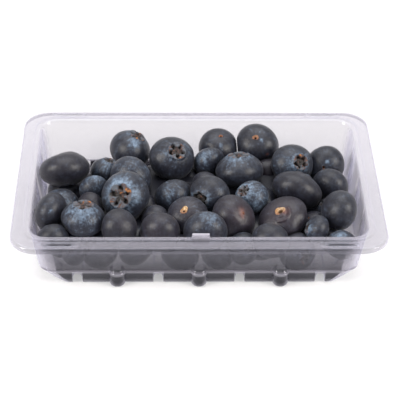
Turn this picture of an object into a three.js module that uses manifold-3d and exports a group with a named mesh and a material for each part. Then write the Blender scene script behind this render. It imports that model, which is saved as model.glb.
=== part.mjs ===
import * as THREE from "three";
import Module from "manifold-3d";

const wasm = await Module();
wasm.setup();

// An open clear punnet, pressed from one sheet and heaped with blueberries.
// Millimetres, +Z up, the front long side towards -Y, standing on z = 0.

// The sheet and its outer sizes
const sheet = 0.5;
const flangeLength = 143;
const flangeWidth = 96;
const flangeTop = 24;
const flangeRadius = 10.5;
const skirtDrop = 2;
const floorLength = 106;
const floorWidth = 73.6;
const floorRadius = 3;

// Where the sloping foot of the walls turns upright
const stepHeight = 6;
const stepLength = 123;
const stepWidth = 75.6;
const stepRadius = 6.4;

// The mouth and the bead round it
const mouthLength = 128.4;
const mouthWidth = 80.6;
const mouthRadius = 7;
const mouthDrop = 0.7;
const mouthFillet = 0.2;
const beadHeight = 0.7;
const beadSpan = 2.6;
const beadSpread = 0.4;

// Vent channels across the floor: an arch open at the front and the back
const channelPlaces = [-46.6, -15.6, 15.6, 46.6];
const channelHeight = 4.5;
const channelArch = [[-2.1, 0], [-1.2, 1], [1.2, 1], [2.1, 0]];

// Ribs pressed outwards: they fade to nothing under the bead
const longRibPlaces = [-31.3, 0, 31.3];
const longRibFoot = 2.9;
const longRibTip = 1.3;
const longRibDepth = 3;
const endRibPlaces = [-22, 0, 22];
const endRibFoot = 4.2;
const endRibTip = 2.2;
const endRibNarrowing = 0.2;
const endRibDepth = 2.2;

// The latch tab on the front bead and the finger grooves in the flange
const tabHalf = 3.1;
const tabEnd = 3.6;
const tabRise = 1.9;
const grooveDepth = 0.8;
const grooveFrom = 46;
const grooveTo = 60.5;
const grooveInset = 3;
const grooveRadius = 7.6;

// The flange bends down to its skirt
const bendInset = 1.2;
const bendRadius = 9.3;
const bendDrop = 0.9;

// The straight part of the long sides, and the steps round a corner
const straightEnd = 48.7;
const cornerSteps = 4;

// The heap
const gap = 0.6;
const press = 0.81;
const core = { z: 10.7, halfLength: 54, halfWidth: 27.5, halfHeight: 4.8, squareness: 0.5 };
const fill = { widths: [16.6, 15.2, 13.8], lifts: [0, 4, 8], x: 60, front: -33, back: 33 };
const frontFill = { widths: [12.4, 10.8, 9.4], lifts: [0, 3, 6], x: 60, front: -36, back: -10 };
const fillTop = 22;
const fillFall = 0.1;
const heapTolerance = 0.72;
const bareBack = { x: -30, reach: 38.5, slope: 1.5 };
const largeWidth = 19;

// Berries laid by hand, front to back: x, y, z, width, flatness, lean from upright
// and the side it leans to (0 front, 90 right).
const laidBerries = [
  [-55.7, -32.3, 17.2, 13, 0.8, 65, -155],
  [-30.6, -31, 21.7, 13.9, 0.88, 135, -155],
  [-14.8, -30.5, 19.3, 15.9, 0.85, 80, 170],
  [2.6, -31, 19.8, 17.3, 0.8, 70, 175],
  [27.3, -31.5, 15.8, 14.8, 0.85, 75, 170],
  [54.9, -31.3, 13.6, 13, 0.8, 65, 175],
  [45.7, -26, 16.6, 11.1, 0.75, 70, -90],
  [-44.1, -26, 22.2, 17.3, 0.74, 10, 180],
  [13.4, -19, 17.2, 18.3, 0.85, 45, 45],
  [33, -18, 16.3, 19.3, 0.62, 25, -42],
  [-56.9, -19.5, 20.9, 15.3, 0.72, 85, -110],
  [-4.4, -18, 17, 16.8, 0.85, 31, -20],
  [54.5, -17.5, 19.7, 15.8, 0.8, 120, 100],
  [-16.8, -16.5, 15.2, 11.9, 0.8, 75, 150],
  [-28.7, -10.5, 21.4, 19.3, 0.88, 52, -15],
  [-53.8, -6.5, 14.2, 15.3, 0.85, 70, 160],
  [-42, -11, 16.9, 11.9, 0.8, 85, 145],
  [-41.4, 0, 17.2, 11.9, 0.8, 95, -170],
  [-9.8, -4, 16.4, 15.8, 0.8, 70, -160],
  [4.4, -6, 19, 16.3, 0.85, 75, -35],
  [21.1, -7.5, 18.7, 13.9, 0.85, 40, -65],
  [39.3, -2, 17.8, 20.3, 0.7, 55, 150],
  [53.3, 4, 16.3, 14.8, 0.8, 75, 150],
  [-26.6, 5.5, 19.2, 17.8, 0.85, 85, 140],
  [-36.9, 14, 16.5, 12.9, 0.8, 20, 120],
  [3.2, 6.5, 15.9, 10.9, 0.8, 70, 165],
  [28.6, 19, 12.3, 12.4, 0.85, 95, 160],
  [-53.5, 8, 11, 13.9, 0.85, 60, 160],
  [-53.3, 8, 22, 20, 0.68, 36, -163],
  [-39.5, 18, 7.5, 12.4, 0.85, 70, 60],
  [-54, 20.5, 9.5, 11.9, 0.85, 110, -60],
  [-10.2, 17, 20.8, 18.6, 0.82, 34, 28],
  [17, 10.5, 19.3, 20.2, 0.67, 20, -166],
  [-27.4, 26.5, 18.8, 17.3, 0.85, 25, 100],
  [4.7, 18, 18.2, 13.4, 0.8, 70, -160],
  [9, 29.9, 17.5, 17, 0.88, 15, 25],
  [38.6, 14.5, 19.4, 17.4, 0.85, 50, 30],
  [25.1, 29.7, 19.3, 18.3, 0.88, 35, -15],
  [52.2, 19, 16, 16.6, 0.85, 69, -10],
];

const mixed = (a, b, t) => a + (b - a) * t;
const radians = THREE.MathUtils.degToRad;

// The same small random draw every time.
function drawer(seed) {
  let state = seed;
  return () => {
    state = (state * 16807) % 2147483647;
    return state / 2147483647;
  };
}

// Stations round the tray, anticlockwise from the front left. Each has a place along its
// side, or a step round its corner, and says how far it is out on a rib or up on an arch.
function longSideStations(sign) {
  const stations = [{ sign, end: -1 }, { sign, end: 1 }];
  for (const place of channelPlaces) {
    for (const [offset, rise] of channelArch) {
      stations.push({ sign, x: place + offset, arch: rise });
    }
  }
  for (const place of longRibPlaces) {
    for (const [offset, out] of [[-longRibFoot, 0], [-longRibTip, 1], [longRibTip, 1], [longRibFoot, 0]]) {
      stations.push({ sign, x: place + offset, rib: out });
    }
  }
  stations.push({ sign, x: -tabEnd }, { sign, x: tabEnd });
  const order = (station) => station.x ?? station.end * stepLength;
  stations.sort((p, q) => (order(p) - order(q)) * -sign);
  return stations;
}

function endSideStations(sign) {
  const stations = [];
  for (const place of endRibPlaces) {
    for (const [offset, out] of [[-endRibFoot, 0], [-endRibTip, 1], [endRibTip, 1], [endRibFoot, 0]]) {
      stations.push({ endSide: sign, y: place, offset, rib: out });
    }
  }
  stations.sort((p, q) => (p.y + p.offset - q.y - q.offset) * sign);
  return stations;
}

function cornerStations(xSign, ySign) {
  const stations = [];
  for (let i = 0; i <= cornerSteps; i++) {
    stations.push({ corner: [xSign, ySign], turn: i / cornerSteps });
  }
  return xSign * ySign > 0 ? stations.reverse() : stations;
}

const loop = [
  ...longSideStations(-1),
  ...cornerStations(1, -1),
  ...endSideStations(1),
  ...cornerStations(1, 1),
  ...longSideStations(1),
  ...cornerStations(-1, 1),
  ...endSideStations(-1),
  ...cornerStations(-1, -1),
];

// One ring of the sheet: half length, half width, corner radius and height.
const inset = sheet / 2;
const wallTop = flangeTop - mouthDrop;
const flatTop = flangeTop - inset;
const rings = [
  { a: floorLength / 2, b: floorWidth / 2, r: floorRadius, z: inset },
  { a: stepLength / 2, b: stepWidth / 2, r: stepRadius, z: stepHeight },
  ringWithin(mouthLength, mouthWidth, mouthFillet, mouthRadius, wallTop),
  ...beadRings(),
  { ...ringWithin(flangeLength, flangeWidth, grooveInset, grooveRadius, flatTop), groove: true },
  ringWithin(flangeLength, flangeWidth, bendInset, bendRadius, flatTop),
  ringWithin(flangeLength, flangeWidth, inset, flangeRadius, flangeTop - bendDrop),
  ringWithin(flangeLength, flangeWidth, inset, flangeRadius, flangeTop - skirtDrop),
];

function ringWithin(length, width, margin, r, z) {
  return { a: length / 2 - margin, b: width / 2 - margin, r, z };
}

// Each point of the bead's section: how far across, how far up, and its share of the tab.
function beadRings() {
  const profile = [[0.1, 0.8, 0.3], [0.55, 1, 1], [1, 0, 0]];
  return profile.map(([across, up, tab]) => {
    const out = beadSpan * across;
    const z = flatTop + beadHeight * up;
    return { ...ringWithin(mouthLength, mouthWidth, -out, mouthRadius + out * beadSpread, z), tab };
  });
}

// The place of a station on a ring.
function stationPoint(station, ring) {
  const low = ring.z <= wallTop;
  const fade = low ? 1 - (ring.z - inset) / (wallTop - inset) : 0;
  let { a, b, z } = ring;
  if (ring === rings[0] && station.arch) {
    const rise = channelHeight * station.arch;
    z += rise;
    b += ((stepWidth - floorWidth) / 2) * (rise / stepHeight);
  }
  if (station.corner) {
    const [sx, sy] = station.corner;
    const angle = (station.turn * Math.PI) / 2;
    const x = a - ring.r + ring.r * Math.sin(angle);
    const y = b - ring.r + ring.r * Math.cos(angle);
    return [sx * x, sy * y, z];
  }
  if (station.endSide) {
    const narrowing = mixed(1, endRibNarrowing, 1 - fade);
    const out = endRibDepth * station.rib * fade;
    return [station.endSide * (a + out), station.y + station.offset * narrowing, z];
  }
  const x = station.x ?? station.end * mixed(straightEnd, a - ring.r, 0.5);
  const out = longRibDepth * (station.rib ?? 0) * fade;
  if (station.sign < 0 && ring.tab && Math.abs(x) <= tabHalf + 0.01) z += tabRise * ring.tab;
  if (ring.groove && Math.abs(x) > grooveFrom && Math.abs(x) < grooveTo) z -= grooveDepth;
  return [x, station.sign * (b + out), z];
}

// The punnet's middle surface: the floor, then one band of quads between each two rings.
function trayMiddle() {
  const points = [];
  const faces = [];
  for (const ring of rings) {
    for (const station of loop) points.push(stationPoint(station, ring));
  }
  const count = loop.length;
  for (let k = 0; k + 1 < rings.length; k++) {
    for (let i = 0; i < count; i++) {
      const j = (i + 1) % count;
      const [p, q, s, t] = [k * count + i, k * count + j, (k + 1) * count + j, (k + 1) * count + i];
      faces.push([p, q, s], [p, s, t]);
    }
  }
  faces.push(...floorFaces(points));
  return { points, faces };
}

// The floor: strips from front to back, and an end panel on the left and the right. A line
// of points runs across each end, one for every station of the end it faces.
function floorFaces(points) {
  const faces = [];
  const front = [];
  const back = [];
  loop.forEach((station, i) => {
    if (station.sign === -1) front.push(i);
    if (station.sign === 1) back.unshift(i);
  });
  const inner = front.length - 1;
  for (let i = 1; i + 2 <= inner; i++) {
    faces.push([front[i], back[i + 1], front[i + 1]], [front[i], back[i], back[i + 1]]);
  }
  const facing = (i) => Boolean(loop[i].endSide);
  for (const [start, end, near, far] of [
    [front[inner], back[inner], front[inner - 1], back[inner - 1]],
    [back[0], front[0] + loop.length, back[1], front[1]],
  ]) {
    const rim = [];
    for (let i = start; i <= end; i++) rim.push(i % loop.length);
    const x = points[rim[0]][0];
    const first = rim.findIndex(facing) - 1;
    const last = rim.length - 1 - first;
    const line = new Map();
    for (let n = first; n <= last; n++) {
      line.set(n, points.length);
      points.push([x, points[rim[n]][1], inset]);
    }
    for (let n = 0; n + 1 < rim.length; n++) {
      const from = line.get(Math.min(Math.max(n, first), last));
      const to = line.get(Math.min(Math.max(n + 1, first), last));
      faces.push([rim[n], from, rim[n + 1]]);
      if (from !== to) faces.push([from, to, rim[n + 1]]);
    }
    const across = [rim[0], ...line.values(), rim.at(-1)];
    const middle = Math.floor(across.length / 2);
    for (let n = 0; n + 1 < across.length; n++) {
      faces.push([across[n], n < middle ? near : far, across[n + 1]]);
    }
    faces.push([near, far, across[middle]]);
  }
  return faces;
}

// Gives a middle surface its thickness, half to each side, and closes its edge.
function thickened({ points, faces }, thickness, edge) {
  const normals = points.map(() => new THREE.Vector3());
  const corner = points.map((p) => new THREE.Vector3(...p));
  for (const face of faces) {
    const [p, q, s] = face.map((i) => corner[i]);
    const flat = new THREE.Vector3().crossVectors(q.clone().sub(p), s.clone().sub(p)).normalize();
    face.forEach((i, n) => {
      const one = corner[face[(n + 1) % 3]].clone().sub(corner[i]);
      const two = corner[face[(n + 2) % 3]].clone().sub(corner[i]);
      normals[i].addScaledVector(flat, one.angleTo(two));
    });
  }
  const outer = corner.map((p, i) => p.clone().addScaledVector(normals[i].normalize(), thickness / 2));
  const inner = corner.map((p, i) => p.clone().addScaledVector(normals[i], -thickness / 2));
  const vertices = [...outer, ...inner].flatMap((p) => p.toArray());
  const shift = points.length;
  const triangles = [];
  for (const [p, q, s] of faces) triangles.push(p, q, s, p + shift, s + shift, q + shift);
  edge.forEach((p, n) => {
    const q = edge[(n + 1) % edge.length];
    triangles.push(p, q, q + shift, p, q + shift, p + shift);
  });
  return solidOf(vertices, triangles);
}

function solidOf(vertices, triangles) {
  const mesh = new wasm.Mesh({
    numProp: 3,
    vertProperties: new Float32Array(vertices),
    triVerts: new Uint32Array(triangles),
  });
  return new wasm.Manifold(mesh);
}

function makeTray() {
  const middle = trayMiddle();
  const last = (rings.length - 1) * loop.length;
  return thickened(middle, sheet, loop.map((_, i) => last + i));
}

// A ball of few sides that holds as much as the unit ball, its points shared by its faces.
function unitBall(detail) {
  const source = new THREE.IcosahedronGeometry(1, detail).getAttribute("position");
  const found = new Map();
  const vertices = [];
  const triangles = [];
  for (let i = 0; i < source.count; i++) {
    const place = new THREE.Vector3().fromBufferAttribute(source, i);
    const key = place.toArray().map((v) => v.toFixed(4)).join();
    if (!found.has(key)) {
      found.set(key, found.size);
      vertices.push(place);
    }
    triangles.push(found.get(key));
  }
  const volume = solidOf(vertices.flatMap((v) => v.toArray()), triangles).volume();
  const grow = Math.cbrt((4 * Math.PI) / 3 / volume);
  return { vertices: vertices.map((v) => v.multiplyScalar(grow)), triangles };
}

// How low a fill berry can lie: on the floor, the channels and the sloping ends.
function restingHeight(x, radius) {
  const heights = [sheet + gap + radius];
  for (const place of channelPlaces) {
    for (const [offset, rise] of channelArch) {
      const across = Math.abs(x - place - offset);
      const top = rise * channelHeight + sheet;
      if (rise > 0 && across < radius + gap) {
        heights.push(top + Math.sqrt((radius + gap) ** 2 - across ** 2));
      }
    }
  }
  const run = stepLength / 2 - floorLength / 2;
  const slope = Math.hypot(run, stepHeight);
  heights.push((radius * slope + (Math.abs(x) - floorLength / 2) * stepHeight) / run + gap * 2 + sheet);
  return Math.max(...heights);
}

function fits(berry) {
  const { x, y, z, radius } = berry;
  const high = Math.min(z / flangeTop, 1);
  const side = mixed(floorWidth, mouthWidth, high) / 2;
  const end = mixed(stepLength, mouthLength, Math.max(0, high - 0.25)) / 2;
  const spare = radius + sheet + gap;
  if (x < bareBack.x && y + bareBack.slope * (z + radius) > bareBack.reach) return false;
  const top = fillTop - fillFall * (y + side);
  return Math.abs(y) + spare <= side && Math.abs(x) + spare <= end && z + radius <= top;
}

const apart = (p, q) => Math.hypot(p.x - q.x, p.y - q.y, p.z - q.z) >= press * (p.radius + q.radius);

// The hand-laid berries, a bottom layer that fills what they leave free, and small ones in
// the last gaps of the front half.
function heapBerries() {
  const draw = drawer(2024);
  const berries = laidBerries.map(([x, y, z, width, flat, lean, turn]) => (
    { x, y, z, radius: width / 2, flat, lean, turn }
  ));
  for (const layer of [fill, frontFill]) addFill(berries, layer, draw);
  return berries;
}

function addFill(berries, layer, draw) {
  for (const width of layer.widths) {
    for (const lift of layer.lifts) {
      for (let y = layer.front; y <= layer.back; y++) {
        for (let x = -layer.x; x <= layer.x; x++) {
          const berry = fillBerry(x, y, width / 2, lift);
          if (fits(berry) && berries.every((other) => apart(berry, other))) {
            berry.flat = mixed(0.8, 0.92, draw());
            berry.lean = mixed(20, 160, draw());
            berry.turn = mixed(-180, 180, draw());
            berries.push(berry);
          }
        }
      }
    }
  }
}

function fillBerry(x, y, radius, lift) {
  return { x, y, z: restingHeight(x, radius) + lift, radius };
}

function placedBall(ball, place) {
  const vertices = ball.vertices.flatMap((v) => v.clone().applyMatrix4(place).toArray());
  return solidOf(vertices, ball.triangles);
}

function berrySolid(berry, ball) {
  const { x, y, z, radius, flat, lean, turn } = berry;
  const place = new THREE.Matrix4().makeRotationZ(radians(turn - 90));
  place.multiply(new THREE.Matrix4().makeRotationY(radians(lean)));
  place.setPosition(x, y, z);
  place.scale(new THREE.Vector3(radius, radius, radius * flat));
  return placedBall(ball, place);
}

// The hidden middle of the heap, a ball squared off towards a box.
function coreSolid(ball) {
  const place = new THREE.Matrix4().makeTranslation(0, 0, core.z);
  place.scale(new THREE.Vector3(core.halfLength, core.halfWidth, core.halfHeight));
  const squared = (v) => Math.sign(v) * Math.abs(v) ** core.squareness;
  const vertices = ball.vertices.map((v) => new THREE.Vector3(squared(v.x), squared(v.y), squared(v.z)));
  return placedBall({ vertices, triangles: ball.triangles }, place);
}

// Without the closed hollows and scraps that joining and simplifying leave.
function largestBody(solid) {
  return solid.decompose().sort((p, q) => q.volume() - p.volume())[0];
}

function makeBerries() {
  const fine = unitBall(2);
  const plain = unitBall(1);
  const large = (berry, i) => i < laidBerries.length && berry.radius * 2 > largeWidth;
  const solids = heapBerries().map((berry, i) => berrySolid(berry, large(berry, i) ? fine : plain));
  const heap = wasm.Manifold.union([coreSolid(fine), ...solids]);
  return largestBody(largestBody(heap).simplify(heapTolerance));
}

function meshOf(name, solid, look) {
  const { vertProperties, triVerts } = solid.getMesh();
  const geometry = new THREE.BufferGeometry();
  geometry.setAttribute("position", new THREE.BufferAttribute(new Float32Array(vertProperties), 3));
  geometry.setIndex(new THREE.BufferAttribute(new Uint32Array(triVerts), 1));
  const mesh = new THREE.Mesh(geometry, new THREE.MeshStandardMaterial(look));
  mesh.name = name;
  return mesh;
}

const punnet = new THREE.Group();
punnet.name = "punnet_of_blueberries";
punnet.add(meshOf("tray", makeTray(), { color: 0xe4e8ec, roughness: 0.1, metalness: 0 }));
punnet.add(meshOf("berries", makeBerries(), { color: 0x2f3850, roughness: 0.55, metalness: 0 }));

export default punnet;
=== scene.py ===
import math
import random

import bpy
import numpy as np
from mathutils import Matrix, Vector


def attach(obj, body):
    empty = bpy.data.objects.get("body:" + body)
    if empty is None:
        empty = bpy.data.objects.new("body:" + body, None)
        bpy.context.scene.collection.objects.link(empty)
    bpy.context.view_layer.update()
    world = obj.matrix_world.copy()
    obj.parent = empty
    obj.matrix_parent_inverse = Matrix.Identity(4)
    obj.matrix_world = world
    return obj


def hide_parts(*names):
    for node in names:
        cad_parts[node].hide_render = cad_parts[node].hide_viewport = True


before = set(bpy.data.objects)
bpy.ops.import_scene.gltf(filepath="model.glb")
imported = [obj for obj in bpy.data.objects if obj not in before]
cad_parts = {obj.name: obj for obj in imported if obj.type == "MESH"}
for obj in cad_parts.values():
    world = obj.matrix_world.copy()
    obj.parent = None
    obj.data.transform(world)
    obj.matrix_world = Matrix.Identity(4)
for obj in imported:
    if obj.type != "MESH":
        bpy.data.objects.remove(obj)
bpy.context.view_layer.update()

# An open clear punnet heaped with blueberries. Lengths are in millimetres until a mesh is
# made; +Z is up and the side with the latch tab faces -Y.

# the camera: focal length, place, and how far it looks down, turns and tips, in degrees
view = {"lens": 141.0, "at": (-12.3, -509.3, 377.4), "down": 35.62, "yaw": 1.49, "roll": 0.84}

# the stage and its lamps, in metres and watts
room = {"floor": 3.0, "below": 0.00015, "white": "d3d3d5", "glow": 0.34, "world": "ffffff", "worldStrength": 0.60}
lamps = {
    "left": {"at": (-0.62, -0.30, 0.48), "size": (0.24, 0.42), "watts": 4.2, "colour": "fffaf3"},
    "right": {"at": (0.62, -0.30, 0.48), "size": (0.24, 0.42), "watts": 4.2, "colour": "fffaf3"},
    "over": {"at": (0.0, 0.30, 0.95), "size": (0.9, 0.9), "watts": 6.5, "colour": "ffffff"},
}
lampsAim = (0, 0, 0.015)


def linear(hexColour):  # sRGB hex to linear, with alpha 1
    channels = [int(hexColour[i:i + 2], 16) / 255 for i in (0, 2, 4)]
    return [c / 12.92 if c <= 0.04045 else ((c + 0.055) / 1.055) ** 2.4 for c in channels] + [1.0]


def mixed(a, b, t):
    return a + (b - a) * t


def smooth(low, high, value):
    t = np.clip((value - low) / (high - low), 0, 1)
    return t * t * (3 - 2 * t)


def hill(distance, width):
    return np.exp(-((distance / width) ** 2))


def addNode(material, kind, settings=None, links=None):  # one node; links maps an input to a socket
    tree = material.node_tree
    node = tree.nodes.new("ShaderNode" + kind)
    for name, value in (settings or {}).items():
        if isinstance(name, int) or name in node.inputs:
            node.inputs[name].default_value = value
        else:
            setattr(node, name, value)
    for name, socket in (links or {}).items():
        tree.links.new(socket, node.inputs[name])
    return node


def newMaterial(name):
    material = bpy.data.materials.new(name)
    material.use_nodes = True
    material.node_tree.nodes.clear()
    return material


def makeCamera():
    data = bpy.data.cameras.new("camera")
    data.lens = view["lens"]
    data.sensor_width = 36
    data.clip_start = 0.01
    data.clip_end = 50
    camera = bpy.data.objects.new("camera", data)
    camera.location = [c / 1000 for c in view["at"]]
    turned = Matrix.Rotation(math.radians(-view["yaw"]), 3, "Z")
    turned = turned @ Matrix.Rotation(math.radians(90 - view["down"]), 3, "X")
    turned = turned @ Matrix.Rotation(math.radians(view["roll"]), 3, "Z")
    camera.rotation_euler = turned.to_euler()
    bpy.context.collection.objects.link(camera)
    bpy.context.scene.camera = camera
    print("camera set")


def makeStage():
    half = room["floor"] / 2
    mesh = bpy.data.meshes.new("floor")
    low = -room["below"]
    corners = [(-half, -half, low), (half, -half, low), (half, half, low), (-half, half, low)]
    mesh.from_pydata(corners, [], [(0, 1, 2, 3)])
    floor = bpy.data.objects.new("floor", mesh)
    bpy.context.collection.objects.link(floor)
    paint = newMaterial("opal acrylic of a light table")  # even, without gloss, softly lit from below
    shader = addNode(paint, "BsdfPrincipled",
                     {"Base Color": linear(room["white"]), "Roughness": 0.9, "Specular IOR Level": 0.1,
                      "Emission Color": linear("ffffff"), "Emission Strength": room["glow"]})
    addNode(paint, "OutputMaterial", {}, {"Surface": shader.outputs["BSDF"]})
    mesh.materials.append(paint)

    world = bpy.data.worlds.new("studio")
    world.use_nodes = True
    background = world.node_tree.nodes["Background"]
    background.inputs["Color"].default_value = linear(room["world"])
    background.inputs["Strength"].default_value = room["worldStrength"]
    bpy.context.scene.world = world

    for name, lamp in lamps.items():
        data = bpy.data.lights.new(name, "AREA")
        data.shape = "RECTANGLE"
        data.size, data.size_y = lamp["size"]
        data.energy = lamp["watts"]
        data.color = linear(lamp["colour"])[:3]
        light = bpy.data.objects.new(name, data)
        light.location = lamp["at"]
        aim = Vector(lampsAim) - Vector(lamp["at"])
        light.rotation_euler = aim.to_track_quat("-Z", "Y").to_euler()
        bpy.context.collection.objects.link(light)
    bpy.context.scene.view_settings.view_transform = "Standard"
    bpy.context.scene.cycles.transparent_max_bounces = 32  # sight lines cross the clear sheet many times
    print("stage and lamps set")


# The tray. A rib or a channel is drawn by pairs: the way along the side, and the share of its depth.
tray = {
    "sheet": 0.5,
    "flange": (143, 96), "flangeTop": 24, "flangeRadius": 10.5, "skirtDrop": 2,
    "floor": (106, 73.6), "floorRadius": 3,
    "step": (123, 75.6), "stepHeight": 6, "stepRadius": 6.4,
    "mouth": (128.4, 80.6), "mouthRadius": 7, "mouthDrop": 0.7,
    "beadHeight": 0.5, "beadSpan": 2.6, "beadSpread": 0.4,
    "channels": (-46.6, -15.6, 15.6, 46.6), "channelHeight": 4.5,
    "channelArch": ((-2.1, 0), (-2.02, 0.45), (-1.8, 0.8), (-1.3, 1), (1.3, 1), (1.8, 0.8), (2.02, 0.45), (2.1, 0)),
    "longRibs": (-31.3, 0, 31.3), "longRibDepth": 3,
    "longRib": ((-2.95, 0), (-2.65, 0.3), (-2.2, 0.62), (-1.5, 0.87), (-0.7, 1), (0.7, 1), (1.5, 0.87), (2.2, 0.62),
                (2.65, 0.3), (2.95, 0)),
    "ribShoulder": (5.6, 8.2), "ribWaist": 0.45, "ribNarrowing": 0.55,
    "endRibs": (-22, 0, 22), "endRibDepth": 2.2, "endRibNarrowing": 0.2,
    "endRib": ((-4.4, 0), (-3.8, 0.15), (-3.2, 0.55), (-2.7, 0.88), (-2.0, 1), (2.0, 1), (2.7, 0.88), (3.2, 0.55),
               (3.8, 0.15), (4.4, 0)),
    "tab": (-2.7, 3.5), "tabFoot": 3.75, "tabRise": 2.1,
    "groove": (46, 60.5), "grooveDepth": 0.8, "grooveEase": 2.2,
    "straightEnd": 48.9, "endShares": (0.1, 0.35, 0.6, 0.8, 0.92), "endPlain": (-30.5, -11, 11, 30.5),
    "cornerSteps": 10, "sharpest": 50,
    # the rings that the sheet is drawn through, from the foot of the wall out to the flange's edge
    "footRings": ((2.6, 0, 0.1), (5.0, -0.2, 0.25), (5.65, -0.25, 0.35), (5.95, 0, 0.3)),  # height, ways out
    "wallRings": (6.2, 6.9, 7.6, 8.4, 10.5, 14.5, 19, 22.8), "wallInset": 0.2, "wallBow": (0.8, -0.4),
    "beadRings": ((0.02, 0.25, 0), (0.08, 0.62, 0.1), (0.2, 0.88, 0.5), (0.38, 1, 1), (0.6, 1, 1),
                  (0.76, 0.85, 0.6), (0.88, 0.5, 0.1), (0.95, 0.16, 0), (1.08, 0, 0)),  # shares of width, height, tab
    "grooveRings": ((4.2, 0), (3.7, 0.7), (3.1, 1), (2.5, 0.8), (2.0, 0)),  # way in, share of depth
    "edgeRings": ((1.3, 0), (0.85, 0.08), (0.5, 0.35), (0.3, 0.8)),  # way in, drop
    # what the sheet's material reads at each place
    "milk": {"flange": 1.0, "long": 0.25, "end": 1.4},
    # painted glints: how much white veil the end ribs' edges, the tab, the step and the ledge over it get
    "paintedGlints": {"endRib": 1.8, "tab": 1.4, "step": 0.9, "ledge": 0.5},
    # a darker see-through tint in the flange, and painted shade in the sheet low on the long walls and fading up the
    # front wall
    "tintAndPaintedShade": {"flange": 0.06, "foot": 1, "front": 0.5, "footTop": 5.7, "fades": (6, 14.5), "rim": 20},
}


def trayRing(size, margin, radius, z, **more):
    return {"a": size[0] / 2 - margin, "b": size[1] / 2 - margin, "r": radius, "z": z, **more}


def trayRings():
    t = tray
    inset = t["sheet"] / 2
    flat = t["flangeTop"] - inset
    wallTop = t["flangeTop"] - t["mouthDrop"]
    rings = [
        trayRing(t["floor"], 1.6, t["floorRadius"] - 1, inset, base=1.6),
        trayRing(t["floor"], 0.6, t["floorRadius"] - 0.4, inset, base=0.6),
        trayRing(t["floor"], 0, t["floorRadius"], inset + 0.12, base=0),
        trayRing(t["floor"], -0.35, t["floorRadius"] + 0.2, inset + 0.6),
    ]
    for z, *outs in t["footRings"]:
        share = z / t["stepHeight"]
        size = [mixed(low, high, share) + 2 * out for low, high, out in zip(t["floor"], t["step"], outs)]
        radius = mixed(t["floorRadius"], t["stepRadius"], share)
        # a painted glint along the step
        white = t["paintedGlints"]["step"] if z > 5.5 else 0
        rings.append(trayRing(size, 0, radius, z, wall=True, bend=white))
    for z in t["wallRings"]:  # bowed, so that the long walls lean a little more than the end walls
        share = (z - t["stepHeight"]) / (wallTop - t["stepHeight"])
        size = [mixed(low, high, share) + bow * (1 - share)
                for low, high, bow in zip(t["step"], t["mouth"], t["wallBow"])]
        # a painted glint on the ledge over the step
        white = t["paintedGlints"]["ledge"] if z < 6.5 else 0
        rings.append(trayRing(size, t["wallInset"], t["mouthRadius"], z, wall=True, bend=white))
    for across, up, tab in t["beadRings"]:
        out = t["beadSpan"] * across
        z = flat + t["beadHeight"] * up
        rings.append(trayRing(t["mouth"], -out, t["mouthRadius"] + out * t["beadSpread"], z, tab=tab))
    flange, radius, hem = t["flange"], t["flangeRadius"], t["flangeTop"] - t["skirtDrop"]
    for margin, groove in t["grooveRings"]:
        rings.append(trayRing(flange, margin, radius - margin * 0.95, flat, groove=groove))
    for margin, drop in t["edgeRings"]:
        rings.append(trayRing(flange, margin, radius - margin, flat - drop))
    rings.append(trayRing(flange, inset + 0.02, radius, hem + 0.3))
    rings.append(trayRing(flange, inset, radius, hem))
    return rings


def trayStations():
    t = tray

    def longSide(sign):
        stations = [{"sign": sign, "end": end, "share": share} for end in (-1, 1) for share in t["endShares"]]
        for place in t["channels"]:
            stations += [{"sign": sign, "x": place + x, "arch": rise} for x, rise in t["channelArch"]]
        for place in t["longRibs"]:
            stations += [{"sign": sign, "x": place + x, "rib": out, "from": place} for x, out in t["longRib"]]
        stations += [{"sign": sign, "x": x} for x in (t["tab"][1], t["tabFoot"])]

        def along(station):  # the straight ends of a side come before and after all that has a fixed x
            return station.get("x", station.get("end", 0) * (t["flange"][0] + station.get("share", 0)))
        return sorted(stations, key=lambda station: -sign * along(station))

    def endSide(sign):
        stations = []
        for place in t["endRibs"]:
            stations += [{"side": sign, "y": place, "offset": y, "rib": out} for y, out in t["endRib"]]
        for y in t["endPlain"]:
            stations.append({"side": sign, "y": y, "offset": 0})
        return sorted(stations, key=lambda s: sign * (s["y"] + s["offset"]))

    def corner(xSign, ySign):
        steps = range(t["cornerSteps"] + 1)
        stations = [{"corner": (xSign, ySign), "turn": i / t["cornerSteps"]} for i in steps]
        return stations[::-1] if xSign * ySign > 0 else stations

    return [*longSide(-1), *corner(1, -1), *endSide(1), *corner(1, 1),
            *longSide(1), *corner(-1, 1), *endSide(-1), *corner(-1, -1)]


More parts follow.
